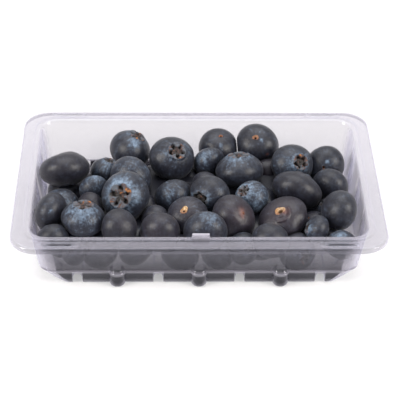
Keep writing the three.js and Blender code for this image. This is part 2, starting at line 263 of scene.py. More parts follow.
def trayPoint(station, ring):  # where a station lies on a ring
    t = tray
    inset = t["sheet"] / 2
    wallTop = t["flangeTop"] - t["mouthDrop"]
    a, b, z, r = ring["a"], ring["b"], ring["z"], ring["r"]
    fade = max(0, 1 - (z - inset) / (wallTop - inset)) if z <= wallTop else 0
    rise = t["channelHeight"] * station.get("arch", 0)
    if rise and z < inset + rise:
        z = inset + rise + (z - inset) * 0.05
        b = mixed(t["floor"][1], t["step"][1], min(z / t["stepHeight"], 1)) / 2 - ring.get("base", 0)
    if "corner" in station:
        sx, sy = station["corner"]
        angle = station["turn"] * math.pi / 2
        return (sx * (a - r + r * math.sin(angle)), sy * (b - r + r * math.cos(angle)), z)
    if "side" in station:
        out = t["endRibDepth"] * station.get("rib", 0) * fade
        offset = station["offset"] * mixed(1, t["endRibNarrowing"], 1 - fade)
        return (station["side"] * (a + out), station["y"] + offset, z)
    sign = station["sign"]
    x = station["x"] if "x" in station else station["end"] * mixed(t["straightEnd"], a - r, station["share"])
    waist = float(smooth(*t["ribShoulder"], z))
    out = t["longRibDepth"] * station.get("rib", 0) * fade * mixed(1, t["ribWaist"], waist)
    if "from" in station and ring.get("wall"):
        x = mixed(station["from"], x, mixed(1, t["ribNarrowing"], waist))
    if sign < 0 and ring.get("tab") and t["tab"][0] <= x <= t["tab"][1]:
        z += t["tabRise"] * ring["tab"]
    if ring.get("groove"):
        near, far = t["groove"]
        lens = smooth(0, t["grooveEase"], abs(x) - near) * smooth(0, t["grooveEase"], far - abs(x))
        z -= t["grooveDepth"] * ring["groove"] * float(lens)
    return (x, sign * (b + out), z)


def milkAt(station, ring):  # how milky the sheet is: thick in the flange, drawn thin in the long walls
    if not (ring.get("wall") or "base" in ring):
        return tray["milk"]["flange"]
    return tray["milk"]["long" if "sign" in station else "end"]


def paintedGlintAt(station, ring):  # painted glints: white veil where the end ribs' edges, the step, the ledge over it and the tab catch the light
    white = tray["paintedGlints"]
    ribEdge = "side" in station and 0.1 < station.get("rib", 0) < 0.95 and ring.get("wall")
    onTab = station.get("sign") == -1 and tray["tab"][0] <= station.get("x", math.inf) <= tray["tab"][1]
    return max(white["endRib"] if ribEdge else 0, ring.get("bend", 0), white["tab"] * ring.get("tab", 0) * onTab)


def tintAndPaintedShadeAt(station, ring):  # the thick flange lets a little less light through; low on the long walls, and fading up the front wall, the sheet is darkened as painted shade
    tintAndPaintedShade = tray["tintAndPaintedShade"]
    if ring["z"] > tintAndPaintedShade["rim"] and not ring.get("wall"):
        return tintAndPaintedShade["flange"]
    if "sign" not in station or ring.get("base", 0) >= 1:
        return 0
    # painted shade: the foot of the long walls darkens all that is seen through it, but not the channels' mouths; the
    # front wall darkens less, fading out upwards
    if ring["z"] < tintAndPaintedShade["footTop"]:
        return 0 if station.get("arch") else tintAndPaintedShade["foot"]
    return tintAndPaintedShade["front"] * (1 - float(smooth(*tintAndPaintedShade["fades"], ring["z"]))) if station["sign"] < 0 else 0


def trayFloor(loop, points):  # strips from front to back, and a fan at each end
    faces = []
    front = [i for i, s in enumerate(loop) if s.get("sign") == -1]
    back = [i for i, s in enumerate(loop) if s.get("sign") == 1][::-1]
    inner = len(front) - 1
    for i in range(1, inner - 1):
        faces.append((front[i], back[i], back[i + 1], front[i + 1]))
    count = len(loop)
    ends = ((front[inner], back[inner], front[inner - 1], back[inner - 1]),
            (back[0], front[0] + count, back[1], front[1]))
    for start, end, near, far in ends:
        rim = [i % count for i in range(start, end + 1)]
        x = points[rim[0]][0]
        facing = [n for n, i in enumerate(rim) if "side" in loop[i]]
        first, last = facing[0] - 1, facing[-1] + 1
        line = {}
        for n in range(first, last + 1):
            line[n] = len(points)
            points.append((x, points[rim[n]][1], points[rim[n]][2]))
        for n in range(len(rim) - 1):
            here, there = line[min(max(n, first), last)], line[min(max(n + 1, first), last)]
            faces.append((rim[n], here, rim[n + 1]) if here == there else (rim[n], here, there, rim[n + 1]))
        across = [rim[0], *line.values(), rim[-1]]
        middle = len(across) // 2
        for n in range(len(across) - 1):
            faces.append((across[n], near if n < middle else far, across[n + 1]))
        faces.append((near, far, across[middle]))
    return faces


def pointNormals(points, faces):
    normals = np.zeros_like(points)
    for face in faces:
        for n, i in enumerate(face):
            one = points[face[(n + 1) % len(face)]] - points[i]
            two = points[face[n - 1]] - points[i]
            flat = np.cross(one, two)
            length = np.linalg.norm(flat)
            if length > 1e-12:
                reach = np.linalg.norm(one) * np.linalg.norm(two)
                normals[i] += flat / length * math.asin(min(1, length / reach))
    return normals / np.maximum(np.linalg.norm(normals, axis=1, keepdims=True), 1e-9)


def clearPet():  # PET, thermoformed from clear sheet: bright glints on its bends, some of them painted as white veil, a thin milky veil, and a darker tint with painted shade low on its walls
    film = {
        # the second colour is the darker see-through tint, used in the flange and as painted shade low on the walls
        "tint": "e8e7e9", "tintAndPaintedShade": "6f6d72", "veil": "e2dfec", "glint": "f1f2ff", "ior": 1.57,
        "haze": 0.003, "edge": 0.30, "bend": 0.24,  # the veil's share face on, seen along the sheet, and on a bend, where it is a painted glint
        "ripple": 9.0, "rippleDepth": 0.0006, "cloud": 6.25,  # millimetres, but the depth in metres
        "veilRoughness": 0.35, "glintRoughness": 0.12,
    }
    material = newMaterial("clear PET sheet, thermoformed")
    place = addNode(material, "TexCoord").outputs["Object"]
    ripple = addNode(material, "TexNoise",
                     {"Scale": 1000 / film["ripple"], "Detail": 2.0, "Roughness": 0.5}, {"Vector": place})
    bump = addNode(material, "Bump", {"Strength": 0.25, "Distance": film["rippleDepth"]},
                   {"Height": ripple.outputs["Fac"]})
    normal = bump.outputs["Normal"]
    tintAndPaintedShade, milk, bend = (addNode(material, "Attribute", {"attribute_name": name}).outputs["Fac"]
                        for name in ("tintAndPaintedShade", "milk", "bend"))
    # what shows through the sheet, darkened in the flange and by painted shade low on the walls
    through = addNode(material, "Mix",
                      {"data_type": "RGBA", 6: linear(film["tint"]), 7: linear(film["tintAndPaintedShade"])}, {0: tintAndPaintedShade}).outputs[2]
    clear = addNode(material, "BsdfTransparent", {}, {"Color": through})
    veil = addNode(material, "BsdfPrincipled",
                   {"Base Color": linear(film["veil"]), "Roughness": film["veilRoughness"], "IOR": film["ior"]},
                   {"Normal": normal})
    facing = addNode(material, "LayerWeight", {"Blend": 0.5}, {"Normal": normal}).outputs["Facing"]
    cloud = addNode(material, "TexNoise", {"Scale": 1000 / film["cloud"], "Detail": 3.0}, {"Vector": place})
    haze = addNode(material, "MapRange",
                   {"From Min": 0.3, "From Max": 0.7, "To Min": film["haze"] * 0.7, "To Max": film["haze"] * 1.4},
                   {"Value": cloud.outputs["Fac"]}).outputs["Result"]
    slope = addNode(material, "MapRange",
                    {"interpolation_type": "SMOOTHSTEP", "From Min": 0.15, "From Max": 0.7},
                    {"Value": facing}).outputs["Result"]
    milk = addNode(material, "Math", {"operation": "MULTIPLY", 1: film["edge"]}, {0: milk}).outputs[0]
    # the veil's share from the haze, and from painted glints on bends
    white = addNode(material, "Math", {"operation": "MULTIPLY_ADD", 1: film["bend"]},
                    {0: bend, 2: haze}).outputs[0]
    veiled = addNode(material, "Math", {"operation": "MULTIPLY_ADD", "use_clamp": True},
                     {0: slope, 1: milk, 2: white}).outputs[0]
    body = addNode(material, "MixShader", {},
                   {0: veiled, 1: clear.outputs["BSDF"], 2: veil.outputs["BSDF"]})
    gloss = addNode(material, "BsdfAnisotropic",
                    {"Color": linear(film["glint"]), "Roughness": film["glintRoughness"]}, {"Normal": normal})
    mirror = ((film["ior"] - 1) / (film["ior"] + 1)) ** 2  # what a flat face mirrors, and more at a slant
    steep = addNode(material, "Math", {"operation": "POWER", 1: 5.0}, {0: facing}).outputs[0]
    share = addNode(material, "Math", {"operation": "MULTIPLY_ADD", 1: 1 - mirror, 2: mirror},
                    {0: steep}).outputs[0]
    whole = addNode(material, "MixShader", {},
                    {0: share, 1: body.outputs["Shader"], 2: gloss.outputs["BSDF"]})
    addNode(material, "OutputMaterial", {}, {"Surface": whole.outputs["Shader"]})
    return material


def makeTray():
    loop = trayStations()
    rings = trayRings()
    points = [trayPoint(station, ring) for ring in rings for station in loop]
    count = len(loop)
    faces = []
    for k in range(len(rings) - 1):
        for i in range(count):
            j = (i + 1) % count
            faces.append((k * count + i, k * count + j, (k + 1) * count + j, (k + 1) * count + i))
    faces += trayFloor(loop, points)
    middle = np.array(points, dtype=float)
    normals = pointNormals(middle, faces)
    half = tray["sheet"] / 2
    shift = len(middle)
    everywhere = np.concatenate([middle + normals * half, middle - normals * half])
    everywhere[:, 2] = np.maximum(everywhere[:, 2], 0)
    shell = faces + [tuple(i + shift for i in face[::-1]) for face in faces]
    last = (len(rings) - 1) * count
    for i in range(count):
        j = (i + 1) % count
        shell.append((last + i, last + j, last + j + shift, last + i + shift))
    piece = meshPiece("clear_tray", everywhere, shell)
    # at each point: the sheet's haze, its painted glints on bends, and its darker tint with painted shade
    for name, amount in (("milk", milkAt), ("bend", paintedGlintAt), ("tintAndPaintedShade", tintAndPaintedShadeAt)):
        values = [amount(station, ring) for ring in rings for station in loop]
        values += [tray["milk"]["long"] if name == "milk" else 0] * (shift - len(values))  # the fans' own points
        layer = piece.data.attributes.new(name, "FLOAT", "POINT")
        layer.data.foreach_set("value", np.array(values * 2, dtype=np.float32))
    piece.data.materials.append(clearPet())
    piece.data.set_sharp_from_angle(angle=math.radians(tray["sharpest"]))
    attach(piece, "root")
    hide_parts("tray")
    print("tray made:", len(piece.data.polygons), "faces")


def meshPiece(name, points, faces):
    mesh = bpy.data.meshes.new(name)
    mesh.from_pydata((np.asarray(points) / 1000).tolist(), [], faces)
    mesh.validate()
    mesh.shade_smooth()
    piece = bpy.data.objects.new(name, mesh)
    bpy.context.collection.objects.link(piece)
    return piece


# The heap: how near berries come to the tray, how far they press into each other, half the width of a
# channel's top, the sizes and heights that fill berries are tried at, the corner they leave bare, and
# the core's middle and halves.
heap = {
    "gap": 0.6, "press": 0.81, "ridge": 1.2,
    "fill": {"widths": (16.6, 15.2, 13.8), "lifts": (0, 4, 8), "x": 60, "front": -33, "back": 33},
    "frontFill": {"widths": (12.4, 10.8, 9.4), "lifts": (0, 3, 6), "x": 60, "front": -36, "back": -10},
    "fillTop": 22, "fillFall": 0.1,
    "bareBack": {"x": -30, "reach": 38.5, "slope": 1.5}, "seeds": (2024, 7),
    "coreAt": 10.7, "core": (50, 24, 4.2), "coreSquareness": 0.5,
}

# One row a berry, front to back: x, y, z, width, flatness, lean from upright and the side it
# leans to (0 front, 90 right), the end that leads, the size of its crown, bloom and blush.
laidBerries = [
    (-55.7, -32.3, 17.2, 13, 0.8, 65, -155, "crown", 0.32, 0.02, 0.1),
    (-30.6, -31, 21.7, 13.9, 0.88, 135, -155, "crown", 0.32, 0, 0.3),
    (-14.8, -30.5, 19.3, 15.9, 0.85, 80, 170, "crown", 0.32, 0.04, 0.8),
    (2.6, -31, 19.8, 17.3, 0.8, 70, 175, "crown", 0.32, 0.12, 0.1),
    (27.3, -31.5, 15.8, 14.8, 0.85, 75, 170, "crown", 0.32, 0.04, 0.2),
    (54.9, -31.3, 13.6, 13, 0.8, 65, 175, "crown", 0.32, 0.2, 0.1),
    (45.7, -26, 16.6, 11.1, 0.75, 70, -90, "crown", 0.36, 0.12, 0.1),
    (-44.1, -26, 22.2, 17.3, 0.74, 10, 180, "crown", 0.44, 0.12, 0.1),
    (13.4, -19, 17.2, 18.3, 0.85, 45, 45, "stem", 0.32, 0.04, 1),
    (33, -18, 16.3, 19.3, 0.62, 25, -42, "stem", 0.32, 0, 0.9),
    (-56.9, -19.5, 20.9, 15.3, 0.72, 85, -110, "crown", 0.32, 0.02, 0.2),
    (-4.4, -18, 17, 16.8, 0.85, 31, -20, "stem", 0.32, 0.08, 0.5),
    (54.5, -17.5, 19.7, 15.8, 0.8, 120, 100, "crown", 0.32, 0.02, 0.1),
    (-16.8, -16.5, 15.2, 11.9, 0.8, 75, 150, "crown", 0.32, 0.05, 0.4),
    (-28.7, -10.5, 21.4, 19.3, 0.88, 52, -15, "crown", 0.45, 0.12, 0),
    (-53.8, -6.5, 14.2, 15.3, 0.85, 70, 160, "crown", 0.32, 0.14, 0),
    (-42, -11, 16.9, 11.9, 0.8, 85, 145, "crown", 0.32, 0.02, 0.7),
    (-41.4, 0, 17.2, 11.9, 0.8, 95, -170, "crown", 0.32, 0.3, 0),
    (-9.8, -4, 16.4, 15.8, 0.8, 70, -160, "crown", 0.32, 0.16, 0),
    (4.4, -6, 19, 16.3, 0.85, 75, -35, "crown", 0.38, 0.1, 0.1),
    (21.1, -7.5, 18.7, 13.9, 0.85, 40, -65, "crown", 0.36, 0.42, 0),
    (39.3, -2, 17.8, 20.3, 0.7, 55, 150, "crown", 0.32, 0, 0.3),
    (53.3, 4, 16.3, 14.8, 0.8, 75, 150, "crown", 0.32, 0.05, 0.1),
    (-26.6, 5.5, 19.2, 17.8, 0.85, 85, 140, "crown", 0.32, 0.15, 0.1),
    (-36.9, 14, 16.5, 12.9, 0.8, 20, 120, "crown", 0.36, 0.22, 0.1),
    (3.2, 6.5, 15.9, 10.9, 0.8, 70, 165, "crown", 0.32, 0.02, 0.4),
    (28.6, 19, 12.3, 12.4, 0.85, 95, 160, "crown", 0.32, 0, 1),
    (-53.5, 8, 11, 13.9, 0.85, 60, 160, "crown", 0.32, 0.1, 0.1),
    (-53.3, 8, 22, 20, 0.68, 36, -163, "stem", 0.32, 0, 0.4),
    (-39.5, 18, 7.5, 12.4, 0.85, 70, 60, "crown", 0.32, 0.1, 0.1),
    (-54, 20.5, 9.5, 11.9, 0.85, 110, -60, "crown", 0.32, 0.1, 0.1),
    (-10.2, 17, 20.8, 18.6, 0.82, 34, 28, "crown", 0.35, 0.1, 0.1),
    (17, 10.5, 19.3, 20.2, 0.67, 20, -166, "crown", 0.4, 0.1, 0),
    (-27.4, 26.5, 18.8, 17.3, 0.85, 25, 100, "crown", 0.36, 0.12, 0.1),
    (4.7, 18, 18.2, 13.4, 0.8, 70, -160, "crown", 0.32, 0.15, 0),
    (9, 29.9, 17.5, 17, 0.88, 15, 25, "stem", 0.32, 0.06, 0.1),
    (38.6, 14.5, 19.4, 17.4, 0.85, 50, 30, "crown", 0.34, 0.15, 0),
    (25.1, 29.7, 19.3, 18.3, 0.88, 35, -15, "stem", 0.32, 0.04, 0.1),
    (52.2, 19, 16, 16.6, 0.85, 62, -10, "stem", 0.3, 0.06, 0),
]


def drawer(seed):  # the same small random draw every time
    state = [seed]

    def draw():
        state[0] = (state[0] * 16807) % 2147483647
        return state[0] / 2147483647
    return draw


def restingHeight(x, radius):  # how low a fill berry can lie: on the floor, the channels, the sloping ends
    t = tray
    heights = [t["sheet"] + heap["gap"] + radius]
    for place in t["channels"]:
        for edge in (-heap["ridge"], heap["ridge"]):
            across = abs(x - place - edge)
            if across < radius + heap["gap"]:
                top = t["channelHeight"] + t["sheet"]
                heights.append(top + math.sqrt((radius + heap["gap"]) ** 2 - across ** 2))
    run = (t["step"][0] - t["floor"][0]) / 2
    slope = math.hypot(run, t["stepHeight"])
    lift = (abs(x) - t["floor"][0] / 2) * t["stepHeight"]
    heights.append((radius * slope + lift) / run + heap["gap"] * 2 + t["sheet"])
    return max(heights)


def fits(berry):
    t = tray
    x, y, z, radius = (berry[k] for k in ("x", "y", "z", "radius"))
    high = min(z / t["flangeTop"], 1)
    side = mixed(t["floor"][1], t["mouth"][1], high) / 2
    end = mixed(t["step"][0], t["mouth"][0], max(0, high - 0.25)) / 2
    spare = radius + t["sheet"] + heap["gap"]
    bare = heap["bareBack"]
    if x < bare["x"] and y + bare["slope"] * (z + radius) > bare["reach"]:
        return False
    top = heap["fillTop"] - heap["fillFall"] * (y + side)
    return abs(y) + spare <= side and abs(x) + spare <= end and z + radius <= top


def apart(p, q):
    distance = math.dist((p["x"], p["y"], p["z"]), (q["x"], q["y"], q["z"]))
    return distance >= heap["press"] * (p["radius"] + q["radius"])


def addFill(berries, layer, draw):
    for width in layer["widths"]:
        for lift in layer["lifts"]:
            for y in range(layer["front"], layer["back"] + 1):
                for x in range(-layer["x"], layer["x"] + 1):
                    radius = width / 2
                    berry = {"x": x, "y": y, "z": restingHeight(x, radius) + lift, "radius": radius}
                    if fits(berry) and all(apart(berry, other) for other in berries):
                        berry["flat"] = mixed(0.8, 0.92, draw())
                        berry["lean"] = mixed(20, 160, draw())
                        berry["turn"] = mixed(-180, 180, draw())
                        berry["leads"] = "crown"
                        berries.append(berry)


def heapBerries():
    draw, own = drawer(heap["seeds"][0]), random.Random(heap["seeds"][1])
    names = ("x", "y", "z", "radius", "flat", "lean", "turn", "leads", "crown", "bloom", "blush")
    berries = []
    for row in laidBerries:
        berry = dict(zip(names, row))
        berry["radius"] /= 2
        berries.append(berry)
    for layer in (heap["fill"], heap["frontFill"]):
        addFill(berries, layer, draw)
    for i, berry in enumerate(berries):
        berry["seed"] = own.randrange(1000)
        berry["low"] = i >= len(laidBerries)
        if berry["low"]:
            berry.update(crown=own.uniform(0.3, 0.4), bloom=own.uniform(0, 0.2), blush=own.uniform(0, 0.4))
    print("heap laid:", len(berries), "berries")
    return berries


# What tells one berry from the next, by its row in the heap. A direction is from its middle outwards.
dents = {  # direction, width and depth
    8: (((-0.15, -0.94, 0.2), 0.36, 0.07), ((0.35, -0.6, 0.7), 0.16, 0.02)),
    9: (((0.75, -0.75, 0.25), 0.3, 0.05), ((0.12, -0.62, 0.78), 0.2, 0.035)),
    21: (((-0.25, -0.93, 0.25), 0.42, 0.12),),
    28: (((-0.6, 0.4, 0.69), 0.5, 0.1), ((0.42, 0.5, 0.75), 0.3, -0.05), ((0.1, -0.8, -0.5), 0.4, 0.04)),
    32: (((0.0, -0.9, 0.35), 0.6, 0.02),),
    35: (((-0.62, -0.72, 0.3), 0.26, 0.07), ((-0.2, -0.9, 0.1), 0.22, 0.03)),
}
folds = {  # a ridge bent round a point: its direction, the bend's radius, the side it is on, width and height
    9: ((-0.25, -0.45, 0.85), 0.56, (0.8, -0.34, -0.49), 0.065, 0.11),
}
waxPatches = {  # direction, width and amount
    3: (((0.1, -0.2, 0.97), 0.5, 0.4),),
    5: (((-0.2, -0.3, 0.93), 0.45, 0.5),),
    6: (((-0.72, -0.55, 0.42), 0.42, 0.5),),
    7: (((0.0, -0.6, 0.8), 0.95, 0.42),),
    10: (((0.05, -0.79, 0.61), 0.16, 0.6), ((0.1, -0.5, 0.8), 0.5, 0.15)),
    12: (((0.5, -0.84, -0.2), 0.3, 0.45), ((0.1, -0.5, 0.86), 0.5, 0.12)),
    14: (((-0.25, -0.3, 0.9), 0.5, 0.4), ((0.62, -0.6, 0.5), 0.3, 0.25)),
    15: (((0.1, -0.6, 0.8), 0.8, 0.25),),
    17: (((0.1, 0.1, 0.99), 0.5, 0.4),),
    18: (((-0.2, -0.6, 0.8), 0.7, 0.25),),
    19: (((-0.45, -0.85, 0.3), 0.3, 0.4),),
    20: (((-0.3, -0.9, 0.2), 0.16, 0.7),),
    23: (((0.1, -0.5, 0.85), 0.9, 0.22),),
    24: (((0.0, -0.7, 0.7), 0.35, 0.35),),
    32: (((-0.1, -0.3, 0.95), 0.6, 0.25),),
    31: (((-0.4, -0.6, 0.7), 0.35, 0.2), ((0.1, -0.7, 0.7), 0.3, 0.2)),
    33: (((0.25, -0.6, 0.75), 0.25, 0.6),),
    34: (((-0.3, -0.5, 0.8), 0.6, 0.5),),
    36: (((-0.2, -0.75, 0.6), 0.4, 0.3),),
    35: (((0.1, -0.72, 0.69), 0.12, 0.7), ((-0.62, -0.75, 0.1), 0.2, 0.5)),
    37: (((0.14, -0.68, 0.72), 0.12, 0.6), ((-0.33, -0.8, 0.49), 0.14, 0.4), ((0.04, -0.25, 0.97), 0.16, 0.35)),
    38: (((0.05, -0.66, 0.75), 0.12, 0.8),),
}
rustSpots = {  # direction, width and amount
    8: (((0.42, -0.40, 0.81), 0.16, 0.7), ((0.44, -0.56, 0.70), 0.13, 0.9), ((0.46, -0.68, 0.57), 0.10, 0.5)),
    9: (((0.02, -0.42, 0.91), 0.2, 0.8),),
    6: (((-0.86, -0.45, 0.2), 0.12, 0.9),),
    37: (((0.41, -0.91, 0.07), 0.06, 0.9),),
}
stemScars = {  # radius share, how fresh and yellow, the pit's share of it and the side that the pit is on
    8: (0.05, 0.1, 0.3, 0), 9: (0.18, 0.75, 0.5, -60), 11: (0.165, 1.0, 0.26, 0), 35: (0.09, 0.1, 0.5, 0),
    37: (0.12, 0.25, 0.4, 0), 38: (0.07, 0.0, 0.95, 0),
}
crowns = {  # how far the lobes leave the cup open, how much they stand up, how orange they are, the wax round them
    6: (0.5, 0.6, 0.2, 0.15), 7: (0.35, 0.3, 0.55, 0.0), 14: (0.22, 0.25, 0.6, 0.28), 19: (0.6, 0.3, 0.1, 0.15),
    20: (0.2, 0.2, 0.35, 0.0), 24: (0.4, 0.6, 0.3, 0.1), 31: (0.36, 0.8, 0.5, 0.0), 32: (0.4, 0.7, 0.5, 0.15),
    33: (0.4, 0.8, 0.55, 0.1), 36: (0.5, 0.6, 0.55, 0.15),
}
usual = {"crown": (0.45, 0.4, 0.4, 0.1), "scar": (0.08, 0.1, 0.6, 0)}

# How finely each kind is drawn: points round it, and steps over the crown and over its side.
finely = {"shown": (96, 32, 46), "plain": (60, 14, 24), "low": (44, 10, 16)}
kindDetail = {"berries_crown_up": "shown", "berries_stem_up": "shown", "berries_side_on": "plain",
              "berries_below": "low"}

# How far any berry is from a ball, and the relief at its two ends, as shares of its radius.
berryForm = {"bulge": 0.94, "ends": 0.97, "waves": 7, "waveDepth": 0.012, "oval": 0.035}
calyxForm = {"lobes": 5, "scatter": 0.16, "lobeWidth": (0.44, 0.66), "stand": 0.11, "fold": 0.02,
             "ring": 0.018, "ringAtLobe": 0.045, "ringWidth": 0.17, "shoulder": 0.02,
             "cup": 0.05, "moat": 0.1, "moatAt": 0.76, "middle": 0.06, "rough": 0.035}
scarForm = {"rim": 0.02, "pit": 0.09, "dimple": 0.045, "dimpleWidth": 0.4}


def berryAngles(detail, crown):  # polar steps, close together over the crown and the stem end
    _, fine, wide = finely[detail]
    edge = math.asin(min(0.95, crown * 1.4))
    near = np.linspace(0, edge, fine + 1)[1:]
    far = math.pi - math.asin(0.3)
    middle = np.linspace(edge, far, wide + 1)[1:]
    tail = np.linspace(far, math.pi, max(6, fine * 5 // 8) + 1)[1:-1]
    return np.concatenate([[0.0], near, middle, tail, [math.pi]])


def crownRelief(rho, angle, crown, draw):
    # A collar with five lobes round a cup. rho is 1 on the collar. Gives the height, what is lobe or collar, and how
    # deep in the cup a point is, which darkens the cup as painted shade.
    f = calyxForm
    opened, standing = crown[:2]
    start = draw.uniform(0, 2 * math.pi)
    lobe = np.zeros_like(rho)
    lift = np.zeros_like(rho)
    collar = np.full_like(rho, 0.25)
    for k in range(f["lobes"]):
        centre = start + k * 2 * math.pi / f["lobes"] + draw.uniform(-f["scatter"], f["scatter"])
        tip = min(0.85, opened * draw.uniform(0.6, 1.35))
        wide = draw.uniform(*f["lobeWidth"])
        stand = standing * draw.uniform(0.3, 1.2) * f["stand"]
        away = np.abs((angle - centre + math.pi) % (2 * math.pi) - math.pi)
        along = np.clip((rho - tip) / (1 - tip), 0, 1)
        half = wide * along ** 0.7 * (1 + 0.12 * np.cos(11 * rho + k))
        inside = smooth(-0.05, 0.06, (half - away) * np.maximum(rho, 0.2)) * (along > 0)
        lobe = np.maximum(lobe, inside)
        lift = np.maximum(lift, inside * stand * (1 - along) ** 0.7)
        collar = np.maximum(collar, np.clip(1.05 - (away / (wide * 1.15)) ** 2.4, 0, 1))
    ring = hill(rho - 1, f["ringWidth"]) * (f["ring"] + f["ringAtLobe"] * collar)
    moat = f["moatAt"] + 0.06 * np.cos(2 * angle + start) + 0.05 * np.cos(3 * angle - start)
    rough = 0.5 + 0.5 * np.cos(4 * angle + 5 * rho + start) * np.cos(7 * angle - 9 * rho + 2 * start)
    cup = -f["cup"] * smooth(0, 0.1, 0.98 - rho) - f["moat"] * hill(rho - moat, 0.17) - f["middle"] * hill(rho, 0.15)
    cup = cup - f["rough"] * rough * smooth(0.05, 0.3, rho)
    folded = -f["fold"] * (1 - rho) + lift
    height = np.where(rho < 1, cup + (folded - cup) * lobe, 0) + ring + f["shoulder"] * hill(rho - 1.35, 0.3)
    # painted shade in the cup: the deeper, the darker; at the stem end the same field marks the real brown pit
    paintedShadeAndPit = smooth(0.055, 0.12, -height) * (rho < 1)
    raised = np.where(rho < 1, lobe, hill(rho - 1, 0.1))
    return height, raised, paintedShadeAndPit


def stemRelief(across, angle, scar, draw):
    # The torn place of the stalk: an uneven rim, a pit beside its middle, a shallow dimple.
    f = scarForm
    scar, _, pitShare, side = scar
    one, two = (draw.uniform(0, 2 * math.pi) for _ in range(2))
    side, off = math.radians(side), 0.45 * (1 - pitShare) * scar
    uneven = 1 + 0.16 * np.cos(2 * angle + one) + 0.1 * np.cos(3 * angle + two)
    share = across / (scar * uneven)
    east = across * np.cos(angle) - off * math.cos(side)
    north = across * np.sin(angle) - off * math.sin(side)
    pit = np.hypot(east, north) / (scar * pitShare)
    paintedShadeAndPit = smooth(0, 0.6, 1.15 - pit)
    height = f["rim"] * hill(share - 0.85, 0.25) - f["pit"] * paintedShadeAndPit - f["dimple"] * hill(across, f["dimpleWidth"])
    raised = np.clip(0.65 + 0.45 * np.cos(angle - side + math.pi), 0.15, 1) * smooth(-0.15, 0.25, 1.1 - share)
    return height, raised, paintedShadeAndPit, share


def berryEnds(berry, polar, angle, draw):  # relief, where it is dried tissue, and what the tissue's materials read
    across, crownSide = np.sin(polar), polar < math.pi / 2
    rho = across / berry["crown"]
    height, raised, paintedShadeAndPit = crownRelief(rho, angle, berry["calyx"], draw)
    low, lowRaised, lowDeep, share, fresh = 0, 0, 0, 10, 0
    if berry["scar"]:
        fresh = berry["scar"][1]
        low, lowRaised, lowDeep, share = stemRelief(across, angle, berry["scar"], draw)
    collarEdge = 0.99 + 0.05 * np.cos(7 * angle + berry["seed"])
    tissue = np.where(crownSide, rho < collarEdge, share < 1)
    fields = {"raised": np.where(crownSide, raised, lowRaised), "paintedShadeAndPit": np.where(crownSide, paintedShadeAndPit, lowDeep),
              "tone": np.where(crownSide, berry["calyx"][2], fresh)}
    return np.where(crownSide, height, low), tissue, fields


def berryMesh(berry, detail):
    draw = random.Random(berry["seed"] * 31 + 5)
    turn = np.linspace(0, 2 * math.pi, finely[detail][0], endpoint=False)
    polar, angle = np.meshgrid(berryAngles(detail, berry["crown"]), turn, indexing="ij")
    across, crownSide = np.sin(polar), polar < math.pi / 2
    relief, tissue, fields = berryEnds(berry, polar, angle, draw)

    # the whole form is never quite round
    out = across ** berryForm["bulge"]
    up = np.sign(np.cos(polar)) * np.abs(np.cos(polar)) ** berryForm["ends"]
    ball = np.stack([out * np.cos(angle), out * np.sin(angle), up], axis=-1)
    wobble = np.zeros_like(polar)
    for _ in range(berryForm["waves"]):
        aim = np.array([draw.gauss(0, 1) for _ in range(3)])
        aim *= draw.uniform(1.1, 3.2) / np.linalg.norm(aim)
        wobble += np.sin(ball @ aim + draw.uniform(0, 6.28)) * berryForm["waveDepth"]
    oval = 1 + draw.uniform(0, berryForm["oval"]) * np.cos(2 * (angle - draw.uniform(0, 3.14)))
    local = ball * (1 + wobble * across ** 0.5)[..., None]
    local[..., :2] *= oval[..., None]
    local[..., 2] *= berry["flat"]
    flatAcross = across * berry["flat"]
    slant = np.stack([flatAcross * np.cos(angle), flatAcross * np.sin(angle), np.cos(polar)], axis=-1)
    slant /= np.linalg.norm(slant, axis=-1, keepdims=True)
    local = local + slant * relief[..., None]

    if berry["leads"] == "stem":
        local = local * np.array([1, -1, -1])
        ball = ball * np.array([1, -1, -1])
    spin = Matrix.Rotation(math.radians(berry["turn"] - 90), 3, "Z")
    spin = spin @ Matrix.Rotation(math.radians(berry["lean"]), 3, "Y")
    world = local @ np.array(spin).T
    aimed = world / np.linalg.norm(world, axis=-1, keepdims=True)
    for aim, width, depth in berry.get("dents", ()):
        world = world * (1 - depth * hill(angleFrom(aimed, aim), width))[..., None]
    blush = np.where(crownSide, 0, hill(across, 0.5)) * 0.65 + 0.35
    if "fold" in berry:
        aim, bend, side, width, tall = berry["fold"]
        off = angleFrom(aimed, aim)
        facing = smooth(0.1, 0.6, (aimed - np.array(aim)) @ np.array(side) / bend)
        ridge = hill(off - bend, width) * facing
        valley = hill(off - bend + 2.2 * width, 1.6 * width) * facing
        world = world * (1 + tall * (ridge - 0.6 * valley))[..., None]
        blush = blush + 0.5 * ridge
    world = world * berry["radius"] + np.array([berry["x"], berry["y"], berry["z"]])

    # what the skin reads at each point; each berry looks up another part of the patterns
    fields["place"] = ball + berry["seed"] * 0.73
    streak = np.stack([np.cos(angle) * 1.6, np.sin(angle) * 1.6, polar * 0.55], axis=-1)
    fields["streak"] = streak + berry["seed"] * 0.37
    nearCrown = np.where(crownSide, hill(across / berry["crown"] - 1.1, 0.55), 0)
    fields["bloom"] = berry["bloom"] + nearCrown * (0.12 + 0.45 * berry["bloom"] + berry["calyx"][3])
    fields["rust"] = np.zeros_like(polar)
    for field, marks in (("bloom", "wax"), ("rust", "rust")):
        for aim, width, amount in berry.get(marks, ()):
            fields[field] = fields[field] + amount * hill(angleFrom(aimed, aim), width)
    fields["blush"] = berry["blush"] * blush

    keep, faces = netFaces(*polar.shape)
    opened = tissue[:-1] & np.roll(tissue[1:], -1, axis=1)
    kinds = (opened * np.where(polar[:-1] > math.pi / 2, 2, 1)).ravel().tolist()  # skin, calyx or stem scar
    fields = {name: values.reshape(polar.size, -1)[keep] for name, values in fields.items()}
    return world.reshape(-1, 3)[keep], faces, kinds, fields


